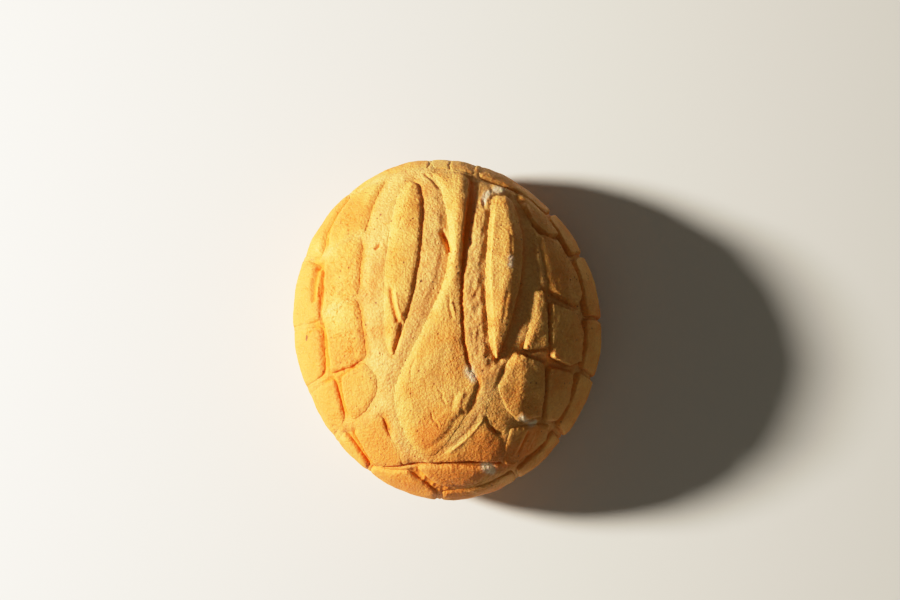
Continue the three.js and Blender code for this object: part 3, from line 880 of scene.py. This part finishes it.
def baked_finish(name):
    """Baked paste or dough: mottled, browner in the cuts with painted shade and glow, with pores, a crackle,
    sugar with painted sheen, a sandy skin, and warm tones with painted light and shade.
    """
    finish = Finish(name)
    at = finish.add("ShaderNodeTexCoord", out="Object")

    def noise(scale, detail, **more):
        values = {"Vector": at, "Scale": scale, "Detail": detail, **more}
        return finish.add("ShaderNodeTexNoise", None, values)

    def cells(scale):
        return finish.add("ShaderNodeTexVoronoi", None, {"Vector": at, "Scale": scale})

    patches = noise(PATCH_SCALE, 5, Roughness=0.65)
    grain = noise(GRAIN_SCALE, 5, Roughness=0.8)
    grit = cells(GRIT_SCALE)
    scatter = noise(SCATTER_SCALE, 2)
    veins = noise(VEIN_SCALE, 3, Distortion=1.2)
    pore = cells(PORE_SCALE).between(0.22, 0.08) * scatter.between(0.48, 0.6)
    dry = (finish.attribute("crackle") + patches.between(0.48, 0.6) * 0.6) * scatter.between(0.4, 0.55)
    crack = ((veins - 0.5) * (veins - 0.5)).between(0.0006, 0.0) * dry
    # tones follow the mottle and the warmth that is read, which is partly painted light and shade
    warmth_and_painted_light = ((patches - 0.5) * 2.2 + finish.attribute("warm_and_painted_light") * 0.5 + 0.5).between(0, 1)
    toasted_and_shade = (finish.attribute("warm_and_painted_light") + (patches - 0.5) * 1.4).between(0.1, 1.1)
    # the sugar spots, which also paint a sheen
    sugar = finish.attribute("sugar") + (grain - 0.5) * 0.15

    paste = finish.blend(warmth_and_painted_light, PALE_PASTE, BROWN_PASTE)
    dough = finish.blend(warmth_and_painted_light, PALE_DOUGH, BROWN_DOUGH)
    body = finish.blend(finish.attribute("bare"), paste, dough)
    over_it = [  # from the lowest up: how much of it shows, and its colour
        # toasted crust, partly painted shade on the side that faces the light
        (toasted_and_shade * 0.75, TOASTED_AND_SHADE),
        (grain.between(0.5, 0.3) * 0.2, CRUST_AND_GLOW),
        (grain.between(0.55, 0.75) * 0.3, SANDY),
        (grit.between(0.4, 0.75) * 0.35, GRITTY),
        # browning in the cuts, which is also painted shade with an orange glow
        (finish.attribute("brown").between(0.05, 0.9), CRUST_AND_GLOW),
        (crack * 0.6, CRUST_AND_GLOW),
        (pore * 0.7, PORE_BROWN),
        (finish.attribute("speck").between(0.2, 0.7) * 0.8, CRUMB_BROWN),
        # white sugar, which also paints a sheen
        (sugar.between(0.05, 1.2) * 0.85, SUGAR_AND_SHEEN_WHITE),
    ]
    for share, tone in over_it:
        body = finish.blend(share, body, tone)

    height = grain * 0.7 + grit * -0.5 + pore * -0.6 + crack * -0.9
    bump = finish.add("ShaderNodeBump", None, {"Height": height, "Strength": 0.7, "Distance": 0.0007})
    values = {
        "Base Color": body,
        "Roughness": 0.65,
        "Normal": bump,
        "Specular IOR Level": 0.25,
        **INSIDE_GLOW,
    }
    surface = finish.add("ShaderNodeBsdfPrincipled", None, values)
    finish.add("ShaderNodeOutputMaterial", None, {"Surface": surface})
    return finish.material


# ---- putting it together ----

golden, pale = baked_finish("golden_paste"), baked_finish("pale_dough")

for node, outline in outlines.items():
    piece = paste_plate(node, outline, paste_of(node))
    piece.data.materials.append(golden)
    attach(piece, "root")
    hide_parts(node)

body = dough_body()
body.data.materials.append(pale)
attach(body, "root")
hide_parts("bun")

# ---- floor, light and camera ----

Light = namedtuple("Light", "name place width power tint")  # in metres and watts

FLOOR_SIZE = 3.0
LIGHTS = [
    Light("key", (-0.94, 0.12, 0.495), 0.16, 33, (1.0, 0.92, 0.82)),
    Light("fill", (-0.1, -0.45, 0.92), 0.9, 0.42, (1.0, 0.89, 0.69)),
]
LIGHTS_AIM = (0, 0, 0.03)
ROOM_TINT, ROOM_STRENGTH = (1.0, 0.9, 0.75, 1), 0.065
BRIGHTEST = 3.0  # the light that is shown as full white
# light, and how bright it is shown
TONES = [(0.15, 0.15), (0.4, 0.4), (0.7, 0.65), (1.0, 0.8), (1.5, 0.92), (2.0, 0.97)]
COMBINED_CURVE = 3  # after the ones for red, green and blue
CAMERA_DISTANCE = 0.52
CAMERA_NEAREST = 0.01
CAMERA_LENS = 55.7
CAMERA_ELEVATION = 84
CAMERA_AIM = (0.0011, 0.0109)  # at the bun's widest level


def pale_floor():
    finish = Finish("pale_floor")
    surface = finish.add("ShaderNodeBsdfPrincipled", None, {"Base Color": FLOOR_PALE, "Roughness": 0.6})
    finish.add("ShaderNodeOutputMaterial", None, {"Surface": surface})
    mesh = bpy.data.meshes.new("floor")
    half = FLOOR_SIZE / 2
    corners = [(-half, -half, 0), (half, -half, 0), (half, half, 0), (-half, half, 0)]
    mesh.from_pydata(corners, [], [(0, 1, 2, 3)])
    mesh.materials.append(finish.material)
    floor = bpy.data.objects.new("floor", mesh)
    bpy.context.scene.collection.objects.link(floor)


def soft_highlights(view):
    """Shows dark and middle tones as they are and lets the brightest fade off slowly."""
    view.view_transform = "Standard"
    view.use_curve_mapping = True
    tones = view.curve_mapping
    tones.white_level = (BRIGHTEST, BRIGHTEST, BRIGHTEST)
    for light, shown in TONES:
        tones.curves[COMBINED_CURVE].points.new(light / BRIGHTEST, shown)
    tones.update()


def aim(thing, target):
    thing.rotation_euler = (Vector(target) - thing.location).to_track_quat("-Z", "Y").to_euler()


def soft_light(light):
    data = bpy.data.lights.new(light.name, "AREA")
    data.shape = "DISK"
    data.size = light.width
    data.energy = light.power
    data.color = light.tint
    thing = bpy.data.objects.new(light.name, data)
    thing.location = light.place
    aim(thing, LIGHTS_AIM)
    bpy.context.scene.collection.objects.link(thing)


def room():
    """The weak light that comes from all round."""
    world = bpy.data.worlds.new("room")
    world.use_nodes = True
    inputs = world.node_tree.nodes["Background"].inputs
    inputs["Color"].default_value = ROOM_TINT
    inputs["Strength"].default_value = ROOM_STRENGTH
    bpy.context.scene.world = world


def camera():
    data = bpy.data.cameras.new("camera")
    data.lens = CAMERA_LENS
    data.clip_start = CAMERA_NEAREST
    thing = bpy.data.objects.new("camera", data)
    lean = math.radians(CAMERA_ELEVATION)
    level = WIDEST_LEVEL * MM
    thing.location = (0, -CAMERA_DISTANCE * math.cos(lean), level + CAMERA_DISTANCE * math.sin(lean))
    aim(thing, (*CAMERA_AIM, level))
    bpy.context.scene.collection.objects.link(thing)
    bpy.context.scene.camera = thing


pale_floor()
for light in LIGHTS:
    soft_light(light)
room()
soft_highlights(bpy.context.scene.view_settings)
camera()
